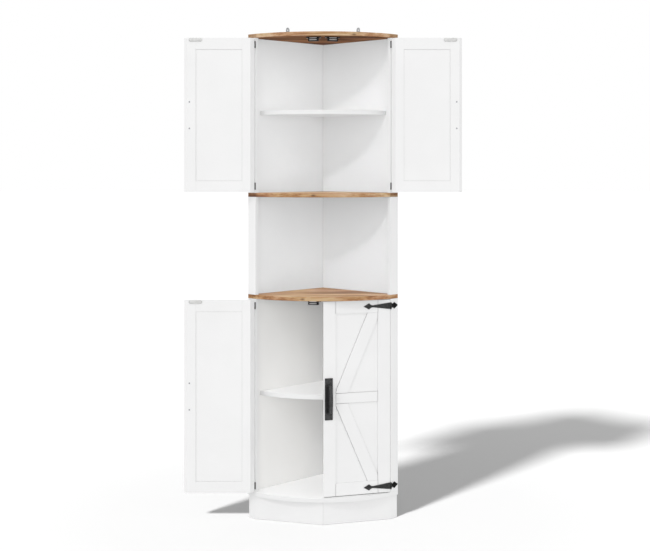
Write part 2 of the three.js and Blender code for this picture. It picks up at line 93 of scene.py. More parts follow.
def thicken(bm, along):
    # pulls a flat face out into a plate, as far as this step along x, y and z
    grown = bmesh.ops.extrude_face_region(bm, geom=bm.faces[:])
    far = [g for g in grown["geom"] if isinstance(g, bmesh.types.BMVert)]
    bmesh.ops.translate(bm, verts=far, vec=[length * mm for length in along])
    bmesh.ops.recalc_face_normals(bm, faces=bm.faces)


def easeEdges(bm, width, segments, keep=lambda edge: True, angle=60):
    # rounds the outward edges that turn by more than this angle in degrees
    sharp = [e for e in bm.edges if e.is_manifold and e.is_convex
             and e.calc_face_angle() > math.radians(angle) and keep(e)]
    bevel(bm, sharp, width, segments)


def easeFront(bm, width, segments=3):
    # rounds the front edges of a plate whose back lies in the plane y = 0
    middle = max(v.co.y for v in bm.verts) / 2
    easeEdges(bm, width, segments, keep=lambda e: all(v.co.y > middle for v in e.verts))


def blockMesh(low, high):
    # a block between its lowest and its highest corner
    bm = bmesh.new()
    bmesh.ops.create_cube(bm, size=1)
    size = [(b - a) * mm for a, b in zip(low, high)]
    middle = [(a + b) / 2 * mm for a, b in zip(low, high)]
    bmesh.ops.scale(bm, verts=bm.verts, vec=size)
    bmesh.ops.translate(bm, verts=bm.verts, vec=middle)
    return bm


def barMesh(radius, length, sides):
    # an upright round bar centred on the origin
    bm = bmesh.new()
    bmesh.ops.create_cone(bm, cap_ends=True, segments=sides, radius1=radius * mm, radius2=radius * mm,
                          depth=length * mm)
    return bm


def spunMesh(profile, steps):
    # a turned shape about the y axis, from (radius, height) points that end on the axis
    bm = bmesh.new()
    line = [bm.verts.new((r * mm, h * mm, 0)) for r, h in profile]
    edges = [bm.edges.new(pair) for pair in zip(line, line[1:])]
    bmesh.ops.spin(bm, geom=line + edges, cent=(0, 0, 0), axis=(0, 1, 0), angle=math.tau, steps=steps,
                   use_merge=True, use_duplicate=False)
    bmesh.ops.remove_doubles(bm, verts=bm.verts, dist=mergeDistance)
    bmesh.ops.recalc_face_normals(bm, faces=bm.faces)
    return bm


def looseObject(bm):
    # a mesh as an object of its own, for a modifier to work on
    mesh = bpy.data.meshes.new("scratch")
    bm.to_mesh(mesh)
    bm.free()
    made = bpy.data.objects.new("scratch", mesh)
    bpy.context.scene.collection.objects.link(made)
    return made


def combined(base, tool, operation):
    # joins or cuts two closed meshes
    holder = looseObject(base)
    cutter = looseObject(tool)
    modifier = holder.modifiers.new("combine", "BOOLEAN")
    modifier.operation = operation
    modifier.solver = "EXACT"
    modifier.object = cutter
    bpy.context.view_layer.update()
    result = bmesh.new()
    result.from_object(holder, bpy.context.evaluated_depsgraph_get())
    for made in (holder, cutter):
        mesh = made.data
        bpy.data.objects.remove(made)
        bpy.data.meshes.remove(mesh)
    return result


def moved(bm, matrix):
    # a copy at another place; a mirrored copy has its faces turned back
    copy = bm.copy()
    bmesh.ops.transform(copy, matrix=matrix, verts=copy.verts)
    if matrix.determinant() < 0:
        bmesh.ops.reverse_faces(copy, faces=copy.faces)
    return copy


def gathered(meshes):
    # several meshes as one
    whole = bmesh.new()
    for bm in meshes:
        mesh = bpy.data.meshes.new("scratch")
        bm.to_mesh(mesh)
        whole.from_mesh(mesh)
        bpy.data.meshes.remove(mesh)
    return whole


def shift(x, y, z):
    return Matrix.Translation((x * mm, y * mm, z * mm))


def addPiece(name, bm, materials, body, replaced=(), keepFlat=False):
    # a finished piece that rides on a body; replaced names the frame's nodes that it stands for
    mesh = bpy.data.meshes.new(name)
    bm.to_mesh(mesh)
    bm.free()
    for material in materials:
        mesh.materials.append(material)
    mesh.polygons.foreach_set("use_smooth", [True] * len(mesh.polygons))
    mesh.set_sharp_from_angle(angle=smoothAngle)
    piece = bpy.data.objects.new(name, mesh)
    bpy.context.scene.collection.objects.link(piece)
    if keepFlat:
        modifier = piece.modifiers.new("flat faces stay flat", "WEIGHTED_NORMAL")
        modifier.keep_sharp = True
    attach(piece, body)
    if replaced:
        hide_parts(*replaced)
    return piece


# Materials

noiseLow, noiseHigh = 0.25, 0.75  # nearly all values of a noise pattern lie between these
mixBy, mixFrom, mixTo, mixed = 0, 6, 7, 2  # the sockets of a Mix node that is set to colours
colourMix = {"data_type": "RGBA"}
colourTint = {"data_type": "RGBA", "blend_type": "MULTIPLY"}


def linear(hexColour):
    # sRGB hex to the linear colour that a shader takes
    def channel(value):
        return value / 12.92 if value <= 0.04045 else ((value + 0.055) / 1.055) ** 2.4
    return [channel(int(hexColour[i:i + 2], 16) / 255) for i in (1, 3, 5)] + [1.0]


def setInputs(tree, node, inputs):
    # gives each input its value, or the output of another node
    for socket, value in inputs.items():
        if isinstance(value, bpy.types.NodeSocket):
            tree.links.new(value, node.inputs[socket])
        else:
            node.inputs[socket].default_value = value


def addNode(tree, kind, settings=None, inputs=None, stops=()):
    # a node with its settings and inputs; stops are the positions and colours of a ramp
    made = tree.nodes.new(kind)
    for name, value in (settings or {}).items():
        setattr(made, name, value)
    setInputs(tree, made, inputs or {})
    if stops:
        marks = made.color_ramp.elements
        while len(marks) < len(stops):
            marks.new(0.5)
        for mark, (position, colour) in zip(marks, stops):
            mark.position = position
            mark.color = linear(colour)
    return made


def startMaterial(name, inputs):
    # a material, its node tree and its shader with these inputs
    material = bpy.data.materials.new(name)
    material.use_nodes = True
    tree = material.node_tree
    shader = tree.nodes["Principled BSDF"]
    setInputs(tree, shader, inputs)
    return material, tree, shader


def addPatterns(tree, patterns):
    # a look's cloudy and streaky patterns, drawn to their sizes in millimetres along x, y and z
    place = addNode(tree, "ShaderNodeTexCoord").outputs["Object"]
    made = {}
    for name, pattern in patterns.items():
        scale = [1 / (length * mm) for length in pattern["size"]]
        drawn = addNode(tree, "ShaderNodeMapping", inputs={"Vector": place, "Scale": scale})
        noise = addNode(tree, "ShaderNodeTexNoise", inputs={
            "Vector": drawn.outputs["Vector"], "Scale": 1.0, "Detail": pattern["detail"],
            "Roughness": pattern.get("roughness", 0.5), "Distortion": pattern.get("distortion", 0.0)})
        made[name] = noise.outputs["Fac"]
    return made


def finishShader(tree, shader, look, colour, sheen, relief, under=None):
    # what every finish ends in: its colour, a sheen that follows one pattern and a relief from another,
    # which may lie over a coarser relief
    low, high = look["roughness"]
    rough = addNode(tree, "ShaderNodeMapRange", inputs={
        "Value": sheen, "From Min": noiseLow, "From Max": noiseHigh, "To Min": low, "To Max": high})
    raised = {"Height": relief, "Distance": look["reliefMm"] * mm, "Strength": look["reliefShare"]}
    if under:
        raised["Normal"] = under
    bump = addNode(tree, "ShaderNodeBump", inputs=raised)
    setInputs(tree, shader, {"Base Color": colour, "Roughness": rough.outputs["Result"],
                             "Normal": bump.outputs["Normal"]})


# White melamine-faced board: pressed paper under clear resin, a fine pearl texture that breaks up
# highlights, and a tone that barely drifts over the length of a board. Shade is painted grey into the
# narrow joints and inner corners, by how closed in they are, and draws them as thin grey lines.
melamineLook = {
    "shader": {"IOR": 1.5, "Specular IOR Level": 0.4}, "roughness": (0.42, 0.52),
    "tones": [(0.35, "#f4f4f4"), (0.65, "#f7f7f7")], "reliefMm": 0.05, "reliefShare": 0.35,
    "patterns": {"drift": {"size": (260, 260, 260), "detail": 2},
                 "pearl": {"size": (1.6, 1.6, 1.6), "detail": 2}},
    "dust": "#8c8b89", "jointMm": 6.0, "jointShares": (0.12, 0.42), "jointSamples": 8,
}

# Sprayed white lacquer on fibreboard, used for the doors: a little orange peel, softer gloss, and a paler
# painted shade in its joints.
lacquerLook = dict(
    melamineLook, roughness=(0.36, 0.46), tones=[(0.35, "#f5f5f5"), (0.65, "#f8f8f8")], reliefMm=0.06,
    dust="#bab9b7", patterns={"drift": {"size": (180, 180, 180), "detail": 2},
                              "pearl": {"size": (3.2, 3.2, 3.2), "detail": 2}})


def makeWhite(name, look):
    material, tree, shader = startMaterial(name, look["shader"])
    patterns = addPatterns(tree, look["patterns"])
    tone = addNode(tree, "ShaderNodeValToRGB", inputs={"Fac": patterns["drift"]}, stops=look["tones"])
    # painted shade: the colour turns grey where the surface is closed in, in joints and inner corners
    openness = addNode(tree, "ShaderNodeAmbientOcclusion", {"samples": look["jointSamples"]},
                       {"Distance": look["jointMm"] * mm})
    tight, wide = look["jointShares"]
    outOfJointShade = addNode(tree, "ShaderNodeMapRange",
                    inputs={"Value": openness.outputs["AO"], "From Min": tight, "From Max": wide})
    colour = addNode(tree, "ShaderNodeMix", colourMix, {
        mixBy: outOfJointShade.outputs["Result"], mixFrom: linear(look["dust"]), mixTo: tone.outputs["Color"]})
    finishShader(tree, shader, look, colour.outputs[mixed], patterns["drift"], patterns["pearl"])
    return material


# Oak-look foil on board: pressed decor paper, printed with long staves, pores and a few knots. Its faces
# that look sideways, on the short ends, are tinted a little darker as painted shade. The photograph is
# balanced so that the oak throws no warm light on the white walls, so its bounce is a plain grey.
oakLook = {
    "shader": {"IOR": 1.5, "Specular IOR Level": 0.35}, "roughness": (0.48, 0.6),
    "tones": [(0.38, "#85603f"), (0.45, "#a67d56"), (0.5, "#bc9771"), (0.55, "#ccb190"), (0.62, "#d8c3a8")],
    "hues": [(0.42, "#fff6e5"), (0.58, "#fff0eb")], "reliefMm": 0.06, "reliefShare": 0.5,
    "patterns": {
        "stave": {"size": (300, 70, 24), "detail": 1, "distortion": 0.3},
        "streak": {"size": (150, 11, 6), "detail": 3, "roughness": 0.55, "distortion": 0.35},
        "grain": {"size": (60, 3, 2.2), "detail": 3, "roughness": 0.6},
        "pore": {"size": (26, 0.9, 0.5), "detail": 3, "roughness": 0.65},
        "hue": {"size": (210, 70, 40), "detail": 1},
    },
    "printShares": {"stave": 0.5, "streak": 0.32, "grain": 0.18},
    "pore": "#7d5a3a", "poreRange": (0.58, 0.74), "poreShare": 0.4,
    "knot": "#5d3a22", "knotRadiusMm": 7, "knotShare": 0.85, "knotStretch": (0.45, 0.8, 1.0),
    "endRange": (0.6, 0.7), "bounce": "#c6c6c6",
}

# The undersides take a darker, matt copy of the same oak: its darker tones are painted shade, and its low
# sheen keeps them brown in grazing light.
shadedUndersideLook = dict(
    oakLook, shader={"IOR": 1.5, "Specular IOR Level": 0.06}, roughness=(0.7, 0.85),
    tones=[(0.38, "#4b3120"), (0.45, "#65442d"), (0.5, "#7b5539"), (0.55, "#8e6747"), (0.62, "#9f7a59")])


def knotMark(tree, look, spot):
    # how much of a knot's colour shows round its middle, fading to none at its rim
    place = addNode(tree, "ShaderNodeTexCoord").outputs["Object"]
    away = addNode(tree, "ShaderNodeVectorMath", {"operation": "SUBTRACT"}, {0: place, 1: spot})
    drawn = addNode(tree, "ShaderNodeVectorMath", {"operation": "MULTIPLY"},
                    {0: away.outputs[0], 1: look["knotStretch"]})
    distance = addNode(tree, "ShaderNodeVectorMath", {"operation": "LENGTH"}, {0: drawn.outputs[0]})
    mark = addNode(tree, "ShaderNodeMapRange", {"interpolation_type": "SMOOTHERSTEP"}, {
        "Value": distance.outputs["Value"], "From Min": 0, "From Max": look["knotRadiusMm"] * mm,
        "To Min": look["knotShare"], "To Max": 0})
    return mark.outputs["Result"]


def endMark(tree, look):
    # 1 on the faces that look sideways, 0 on the others
    direction = addNode(tree, "ShaderNodeTexCoord").outputs["Normal"]
    parts = addNode(tree, "ShaderNodeSeparateXYZ", inputs={"Vector": direction})
    size = addNode(tree, "ShaderNodeMath", {"operation": "ABSOLUTE"}, {0: parts.outputs["X"]})
    low, high = look["endRange"]
    mark = addNode(tree, "ShaderNodeMapRange",
                   inputs={"Value": size.outputs[0], "From Min": low, "From Max": high})
    return mark.outputs["Result"]


def makeOak(name, look, knots, endTint, printShift):
    material, tree, shader = startMaterial(name, look["shader"])
    patterns = addPatterns(tree, look["patterns"])
    printed = printShift
    for layer, share in look["printShares"].items():
        printed = addNode(tree, "ShaderNodeMath", {"operation": "MULTIPLY_ADD"},
                          {0: patterns[layer], 1: share, 2: printed}).outputs[0]
    tone = addNode(tree, "ShaderNodeValToRGB", inputs={"Fac": printed}, stops=look["tones"])
    hue = addNode(tree, "ShaderNodeValToRGB", inputs={"Fac": patterns["hue"]}, stops=look["hues"])
    low, high = look["poreRange"]
    poreMark = addNode(tree, "ShaderNodeMapRange", inputs={
        "Value": patterns["pore"], "From Min": low, "From Max": high, "To Max": look["poreShare"]})
    path = addNode(tree, "ShaderNodeLightPath")
    layers = [(colourTint, 1.0, hue.outputs["Color"]),
              (colourMix, poreMark.outputs["Result"], linear(look["pore"]))]
    layers += [(colourMix, knotMark(tree, look, spot), linear(look["knot"])) for spot in knots]
    # painted shade: the faces that look sideways are tinted darker
    layers += [(colourTint, endMark(tree, look), linear(endTint)),
               (colourMix, path.outputs["Is Diffuse Ray"], linear(look["bounce"]))]
    colour = tone.outputs["Color"]
    for settings, share, layer in layers:
        colour = addNode(tree, "ShaderNodeMix", settings,
                         {mixBy: share, mixFrom: colour, mixTo: layer}).outputs[mixed]
    finishShader(tree, shader, look, colour, patterns["streak"], patterns["pore"])
    return material


# Black powder coat on hammered steel, for the straps and their screws: shallow dimples that catch the
# light, and a satin coat worn a little paler on top.
ironLook = {
    "shader": {"IOR": 1.5, "Metallic": 0.25, "Specular IOR Level": 0.5}, "roughness": (0.3, 0.5),
    "tones": [(0.4, "#1b1b1b"), (0.7, "#383838")], "reliefMm": 0.05, "reliefShare": 0.25,
    "patterns": {"grain": {"size": (0.5, 0.5, 0.5), "detail": 2},
                 "wear": {"size": (9, 9, 9), "detail": 4, "roughness": 0.6}},
    "dimpleMm": 3.4, "dimpleDepthMm": 0.22, "dimpleShare": 0.6, "dimpleSmoothness": 0.6,
}

# The same coat on the handles, darker and duller, as painted shade round the grip. It is rubbed paler grey
# where a hand and a cloth reach: along the grip's outer edge, most at the middle of its width, and over the
# ends of the plate; this grey is partly wear and partly a painted highlight. Between grip and plate it stays
# black and dull.
rubbedHighlitLook = dict(
    ironLook, shader={"IOR": 1.5, "Metallic": 0.25, "Specular IOR Level": 0.22},
    tones=[(0.4, "#101011"), (0.7, "#2a2a2b")], rubbed="#565657", patchShares=(0.45, 1.0),
    patterns=dict(ironLook["patterns"], patch={"size": (5, 5, 5), "detail": 3}))

# Black oxide on forged steel, for the leaves, pins and nails: nearly black, and dull where oil has dried in.
oxideLook = dict(
    ironLook, shader={"IOR": 1.5, "Metallic": 0.0, "Specular IOR Level": 0.12}, roughness=(0.6, 0.8),
    tones=[(0.4, "#0c0c0c"), (0.7, "#151515")], dimpleMm=4.2, dimpleDepthMm=0.12,
    patterns=dict(ironLook["patterns"], wear={"size": (7, 7, 7), "detail": 4, "roughness": 0.6}))


def makeIron(name, look):
    material, tree, shader = startMaterial(name, look["shader"])
    patterns = addPatterns(tree, look["patterns"])
    tone = addNode(tree, "ShaderNodeValToRGB", inputs={"Fac": patterns["wear"]}, stops=look["tones"])
    colour = tone.outputs["Color"]
    # the paler grey from the mesh's attribute is partly rubbed wear and partly a painted highlight
    if "rubbed" in look:
        low, high = look["patchShares"]
        reach = addNode(tree, "ShaderNodeAttribute", {"attribute_name": "rubbed"})
        patch = addNode(tree, "ShaderNodeMapRange", inputs={
            "Value": patterns["patch"], "From Min": noiseLow, "From Max": noiseHigh,
            "To Min": low, "To Max": high})
        rubbed = addNode(tree, "ShaderNodeMath", {"operation": "MULTIPLY", "use_clamp": True},
                         {0: reach.outputs["Fac"], 1: patch.outputs["Result"]})
        colour = addNode(tree, "ShaderNodeMix", colourMix, {
            mixBy: rubbed.outputs[0], mixFrom: colour, mixTo: linear(look["rubbed"])}).outputs[mixed]
    place = addNode(tree, "ShaderNodeTexCoord").outputs["Object"]
    drawn = addNode(tree, "ShaderNodeMapping",
                    inputs={"Vector": place, "Scale": [1 / (look["dimpleMm"] * mm)] * 3})
    dimples = addNode(tree, "ShaderNodeTexVoronoi", {"feature": "SMOOTH_F1"}, {
        "Vector": drawn.outputs["Vector"], "Scale": 1.0, "Smoothness": look["dimpleSmoothness"]})
    hammered = addNode(tree, "ShaderNodeBump", inputs={
        "Height": dimples.outputs["Distance"], "Distance": look["dimpleDepthMm"] * mm,
        "Strength": look["dimpleShare"]})
    finishShader(tree, shader, look, colour, patterns["wear"], patterns["grain"], hammered.outputs["Normal"])
    return material


# Zinc-plated sheet steel, for brackets and screws: grey, finely brushed along its length, cloudy.
zincLook = {
    "shader": {"Metallic": 1.0}, "roughness": (0.26, 0.42), "reliefMm": 0.02, "reliefShare": 0.4,
    "tones": [(0.35, "#8f9295"), (0.65, "#b4b6b8")],
    "patterns": {"cloud": {"size": (6, 6, 6), "detail": 4}, "brush": {"size": (14, 0.35, 0.35), "detail": 2}},
}

# Nickel-plated steel, for strike plates and magnet poles: pale, even and softly shining.
nickelLook = {
    "shader": {"Metallic": 1.0}, "roughness": (0.36, 0.46), "reliefMm": 0.006, "reliefShare": 0.4,
    "tones": [(0.35, "#bfbfbe"), (0.65, "#cbcbca")],
    "patterns": {"cloud": {"size": (9, 9, 9), "detail": 4}, "brush": {"size": (20, 0.5, 0.5), "detail": 2}},
}

# Black moulded ABS of the catches: spark-eroded mould texture, dull sheen.
plasticLook = {
    "shader": {"IOR": 1.53, "Specular IOR Level": 0.25}, "roughness": (0.45, 0.6), "reliefMm": 0.04,
    "reliefShare": 0.5, "tones": [(0.4, "#0f0f10"), (0.6, "#18181a")],
    "patterns": {"texture": {"size": (0.7, 0.7, 0.7), "detail": 3}},
}


def makePlain(name, look, shade, relief):
    # a finish whose colour follows one of its patterns, and its sheen and relief another
    material, tree, shader = startMaterial(name, look["shader"])
    patterns = addPatterns(tree, look["patterns"])
    tone = addNode(tree, "ShaderNodeValToRGB", inputs={"Fac": patterns[shade]}, stops=look["tones"])
    finishShader(tree, shader, look, tone.outputs["Color"], patterns[relief], patterns[relief])
    return material


whiteMelamine = makeWhite("white_melamine_board", melamineLook)
whiteLacquer = makeWhite("sprayed_white_lacquer", lacquerLook)
hammeredIron = makeIron("hammered_black_iron", ironLook)
rubbedHighlitIron = makeIron("rubbed_black_iron", rubbedHighlitLook)
oxidedIron = makeIron("black_oxide_iron", oxideLook)
zincSteel = makePlain("zinc_plated_steel", zincLook, "cloud", "brush")
nickelSteel = makePlain("nickel_plated_steel", nickelLook, "cloud", "brush")
mouldedPlastic = makePlain("moulded_black_abs", plasticLook, "texture", "texture")
print("materials made")


# Boards, taken from the frame, with their edges eased as a router and sandpaper leave them

# Widths and distances are in millimetres, and angles in degrees. A face whose normal points further down
# than underside takes the underside's material, which on the oak boards is darker as painted shade.
boardLook = {
    "melamineEdge": 0.5, "oakEdge": 0.8, "doorEdge": 0.6, "panelEdge": 0.4, "segments": 3, "easeAngle": 30,
    "merge": 0.002, "flatAngle": 0.5, "underside": -0.7,
}

# Where each oak-look board has its knot, in metres, the painted shade on its ends, and how far its print
# lies towards the pale end of the foil's colours.
oakBoards = {
    "counter_board": {"knots": [(-0.076, -0.1835, 0.8235)], "endTint": "#efe6d8", "printShift": -0.022},
    "middle_board": {"knots": [(-0.036, -0.1885, 1.2020)], "endTint": "#c4b7a9", "printShift": -0.02},
    "top_board": {"knots": [(0.112, -0.170, 1.790)], "endTint": "#d6cac0", "printShift": 0.045},
}


def easedCopy(node, width, materials, body):
    # a board or moulding of the frame with eased edges; the last material goes on its underside, where the
    # oak boards take their painted shade
    bm = bmesh.new()
    bm.from_mesh(frame["nodes"][node].data)
    bmesh.ops.remove_doubles(bm, verts=bm.verts, dist=boardLook["merge"] * mm)
    bmesh.ops.dissolve_limit(bm, angle_limit=math.radians(boardLook["flatAngle"]), verts=bm.verts,
                             edges=bm.edges)
    easeEdges(bm, width, boardLook["segments"], angle=boardLook["easeAngle"])
    bm.normal_update()
    for face in bm.faces:
        face.material_index = len(materials) - 1 if face.normal.z < boardLook["underside"] else 0
    return addPiece(node + "_eased", bm, materials, body, [node], keepFlat=True)


bodyOf = {node: body for body, nodes in frame["record"]["behaviour"]["bodies"].items() for node in nodes}
slotOf = {part["node"]: part["material_slot"] for part in frame["record"]["subparts"]}

eased = {}
for node, slotName in slotOf.items():
    if slotName == "oak_board":
        board = oakBoards[node]
        over = makeOak("oak_foil_" + node, oakLook, board["knots"], board["endTint"], board["printShift"])
        under = makeOak("oak_foil_under_" + node, shadedUndersideLook, [], board["endTint"], 0)
        eased[node] = easedCopy(node, boardLook["oakEdge"], [over, under], bodyOf[node])
    elif slotName == "white_board":
        onDoor = "_door_" in node
        edge = "panelEdge" if node.endswith("_panel") else "doorEdge" if onDoor else "melamineEdge"
        white = whiteLacquer if onDoor else whiteMelamine
        eased[node] = easedCopy(node, boardLook[edge], [white], bodyOf[node])
print("boards eased")


# Places of the doors, leaves and walls, worked out from the frame

doorTilt = math.radians(18)  # between a closed door and the cupboard's width
wallTurn = math.radians(45)  # between a wall and the cupboard's width
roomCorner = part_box("base_board")[1].y  # how far back the boards reach
pins = {}
turnOf = {}  # how far each door stands open at rest
for joint in frame["record"]["behaviour"]["joints"]:
    pins[joint["child"]] = Vector(joint["pos_m"])
    turnOf[joint["child"]] = math.radians(-joint["range_deg"][0])
doorNames = [body for body in frame["record"]["behaviour"]["bodies"] if body.endswith("_door")]


def mirrorFor(side):
    # places are worked out on the right and mirrored for the left
    return Matrix.Scale(-1, 4, (1, 0, 0)) if side == "left" else Matrix()


def pinPlace(door):
    # the foot of a door's pin, at floor level
    side = door.split("_")[1]
    return mirrorFor(side) @ Matrix.Translation((abs(pins[door].x), pins[door].y, 0))


def doorPlace(door, turn):
    # x runs from the pin to the meeting edge, y points out of the door's face, z stays the room's
    return pinPlace(door) @ Matrix.Rotation(math.pi + doorTilt + turn, 4, "Z")


def leafPlace(door):
    # x runs from the pin across the stile's face, y points out of it
    return pinPlace(door) @ Matrix.Rotation(math.pi / 2 - wallTurn, 4, "Z") @ Matrix.Scale(-1, 4, (0, 1, 0))


def wallPlace(side):
    # x runs along the wall away from the room's corner, y points out of the cupboard
    return mirrorFor(side) @ Matrix.Translation((0, roomCorner, 0)) @ Matrix.Rotation(-wallTurn, 4, "Z")


def spanIn(place, node):
    # the lowest and the highest corner of a node of the frame, in a place's own axes
    spots = [place.inverted() @ v.co for v in frame["nodes"][node].data.vertices]
    return [Vector([pick(spot[i] for spot in spots) for i in range(3)]) for pick in (min, max)]


# Screws and nails. A screw's profile gives shares of its head's radius and height.

screwLook = {
    "panRadius": 3.4, "panHeight": 1.7, "smallRadius": 2.9, "smallHeight": 1.3, "sunk": 0.2, "steps": 20,
    "profile": [(1, 0.25), (0.9, 0.65), (0.6, 0.93), (0, 1)],
    "crossLength": 3.6, "crossWidth": 0.9, "crossDepth": 1.1, "cutOver": 1.0, "firstTurn": 11, "nextTurn": 37,
}
nailLook = {"profile": [(0, -0.2), (1.9, -0.2), (2.0, 0.3), (1.5, 0.9), (0.8, 1.2), (0, 1.3)], "steps": 12}


def screwHead(radius, height):
    # a pan head standing on the plane y = 0, with a cross recess
    s = screwLook
    rounded = [(radius * out, height * up) for out, up in s["profile"]]
    bm = spunMesh([(0, -s["sunk"]), (radius, -s["sunk"])] + rounded, s["steps"])
    length = s["crossLength"] * radius / s["panRadius"]
    half = s["crossWidth"] * radius / s["panRadius"] / 2
    bottom = height - s["crossDepth"] * height / s["panHeight"]
    top = height + s["cutOver"]
    for low, high in (((-length / 2, bottom, -half), (length / 2, top, half)),
                      ((-half, bottom, -length / 2), (half, top, length / 2))):
        bm = combined(bm, blockMesh(low, high), "DIFFERENCE")
    return bm


panHead = screwHead(screwLook["panRadius"], screwLook["panHeight"])
smallHead = screwHead(screwLook["smallRadius"], screwLook["smallHeight"])
nailHead = spunMesh(nailLook["profile"], nailLook["steps"])


def headsAt(head, places, along=Matrix()):
    # copies of one head at (x, y, z) places, each turned a little as a fitter leaves them
    made = []
    for index, (x, y, z) in enumerate(places):
        turn = Matrix.Rotation(math.radians(screwLook["nextTurn"] * index + screwLook["firstTurn"]), 4, "Y")
        made.append(moved(head, shift(x, y, z) @ along @ turn))
    return gathered(made)


# Strap hinges: a spear-shaped strap on the door, a spade-shaped leaf on the stile. Lengths named with At
# run from the pin, and those named with Half from the hinge's middle line.

hinge = {
    "plate": 2.0, "edge": 0.55, "barrelRadius": 2.4, "barrelHeight": 25.0, "strapBarrel": 11.0,
    "barrelGap": 0.4, "barrelEdge": 0.3, "barrelSegments": 2, "sides": 28,
    "rootAt": 3.0, "rootHalf": 12.2, "rootCorner": 2.5, "neckAt": 70.0, "neckHalf": 3.7, "neckCorner": 7.0,
    "spearAt": 85.5, "spearHalf": 11.3, "tipAt": 107.0, "strapSegments": 6,
    "shoulderAt": 2.6, "shoulderCorner": 1.2, "leafNeckAt": 9.0, "leafNeckHalf": 5.4, "leafNeckCorner": 2.4,
    "leafSpearAt": 20.5, "leafSpearHalf": 12.0, "leafTipAt": 39.6, "leafSegments": 4,
    "pinRadius": 1.1, "pinOver": 0.4, "pinSides": 20,
    "pinHead": [(0, -0.4), (1.7, -0.4), (1.7, 0.1), (1.19, 0.5), (0, 0.7)],
    "strapScrews": [(16, 6), (16, -6), (40, 0), (85.5, 0)], "leafScrews": [(21.5, 4.6), (21.5, -4.6)],
}


def hingePlate(upper, tipAt, root, corners, segments):
    # a plate set back from the pin, from the upper half of its outline, its tip and the corners left at its
    # root; each of the rounded corners has a twin on the lower half
    lower = [(x, -z) for x, z in reversed(upper)]
    bm = bmeshFrom(upper + [(tipAt, 0)] + lower + root)
    for (x, z), radius in corners:
        roundCorners(bm, [(x, z), (x, -z)], radius, segments)
    thicken(bm, (0, hinge["plate"], 0))
    easeFront(bm, hinge["edge"])
    bmesh.ops.translate(bm, verts=bm.verts, vec=(0, -hinge["barrelRadius"] * mm, 0))
    return bm


def knuckleMesh(length):
    # one part of the barrel, round the pin
    bm = barMesh(hinge["barrelRadius"], length, hinge["sides"])
    easeEdges(bm, hinge["barrelEdge"], hinge["barrelSegments"])
    return bm


def strapMesh():
    h = hinge
    tongue = h["strapBarrel"] / 2
    curveAt = (h["neckAt"] + h["spearAt"]) / 2
    upper = [(0, tongue), (h["rootAt"], tongue), (h["rootAt"], h["rootHalf"]), (h["neckAt"], h["neckHalf"]),
             (curveAt, h["neckHalf"]), (h["spearAt"], h["spearHalf"])]
    corners = [((h["rootAt"], h["rootHalf"]), h["rootCorner"]), ((curveAt, h["neckHalf"]), h["neckCorner"])]
    bm = hingePlate(upper, h["tipAt"], [], corners, h["strapSegments"])
    return combined(bm, knuckleMesh(h["strapBarrel"]), "UNION")


def leafMesh():
    h = hinge
    half = h["barrelHeight"] / 2
    slot = h["strapBarrel"] / 2 + h["barrelGap"]
    neck = (h["leafNeckAt"], h["leafNeckHalf"])
    upper = [(0, slot), (0, half), (h["shoulderAt"], half), neck, (h["leafSpearAt"], h["leafSpearHalf"])]
    root = [(h["rootAt"], -slot), (h["rootAt"], slot)]
    corners = [((h["shoulderAt"], half), h["shoulderCorner"]), (neck, h["leafNeckCorner"])]
    bm = hingePlate(upper, h["leafTipAt"], root, corners, h["leafSegments"])
    for sign in (1, -1):
        knuckle = moved(knuckleMesh(half - slot), shift(0, 0, sign * (half + slot) / 2))
        bm = combined(bm, knuckle, "UNION")
    return bm


def pinMesh():
    # the hinge pin, peened over at both ends of the barrel
    h = hinge
    shaft = barMesh(h["pinRadius"], h["barrelHeight"] + h["pinOver"], h["pinSides"])
    head = spunMesh(h["pinHead"], h["pinSides"])
    ends = [moved(head, shift(0, 0, s * h["barrelHeight"] / 2) @ Matrix.Rotation(s * math.pi / 2, 4, "X"))
            for s in (1, -1)]
    return gathered([shaft] + ends)


strapShape = strapMesh()
leafShape = leafMesh()
pinShape = pinMesh()
plateTop = -hinge["barrelRadius"] + hinge["plate"]
strapScrews = headsAt(panHead, [(x, plateTop, z) for x, z in hinge["strapScrews"]])
leafScrews = headsAt(panHead, [(x, plateTop, z) for x, z in hinge["leafScrews"]])

for door in doorNames:
    place = doorPlace(door, turnOf[door])
    stile = leafPlace(door)
    short = door[:-len("_door")]
    for end in ("bottom", "top"):
        strapNode = short + "_" + end + "_strap"
        leafNode = short + "_" + end + "_hinge_leaf"
        low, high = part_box(strapNode)
        level = Matrix.Translation((0, 0, (low.z + high.z) / 2))
        for name, shape, seat, iron, body, replaced in (
                (strapNode + "_forged", strapShape, place, hammeredIron, door, [strapNode]),
                (leafNode + "_forged", leafShape, stile, oxidedIron, "cabinet", [leafNode]),
                (short + "_" + end + "_hinge_pin", pinShape, stile, oxidedIron, "cabinet", []),
                (strapNode + "_screws", strapScrews, place, hammeredIron, door, []),
                (leafNode + "_screws", leafScrews, stile, oxidedIron, "cabinet", [])):
            addPiece(name, moved(shape, level @ seat), [iron], body, replaced)
print("strap hinges made")


# Handles: a back plate and a bowed grip, with clout nails at the corners of the plate

handle = {
    "inset": 21.0, "gap": 0.3, "nailSide": 11.6, "nailRise": 72.0, "boltRise": 49.0,
    "width": 30.0, "height": 153.0, "plate": 2.5, "plateCorner": 1.6, "cornerSegments": 4, "plateEdge": 0.8,
    "plateCuts": (44.0, 56.0, 64.0), "cutSlack": 1.0, "plateRubShares": (0.0, 0.25, 0.6, 0.75),
    "rise": 28.0, "bow": 2.0, "bowCuts": 11, "shoulder": 34.0, "thickness": 6.0, "gripWidth": 15.4,
    "foot": 52.0, "footRound": 17.0, "outerSegments": 10, "innerSegments": 8,
    "crown": 4.4, "crownSegments": 6, "gripEdge": 1.2, "gripSegments": 3, "gripRubShare": 1.0,
}


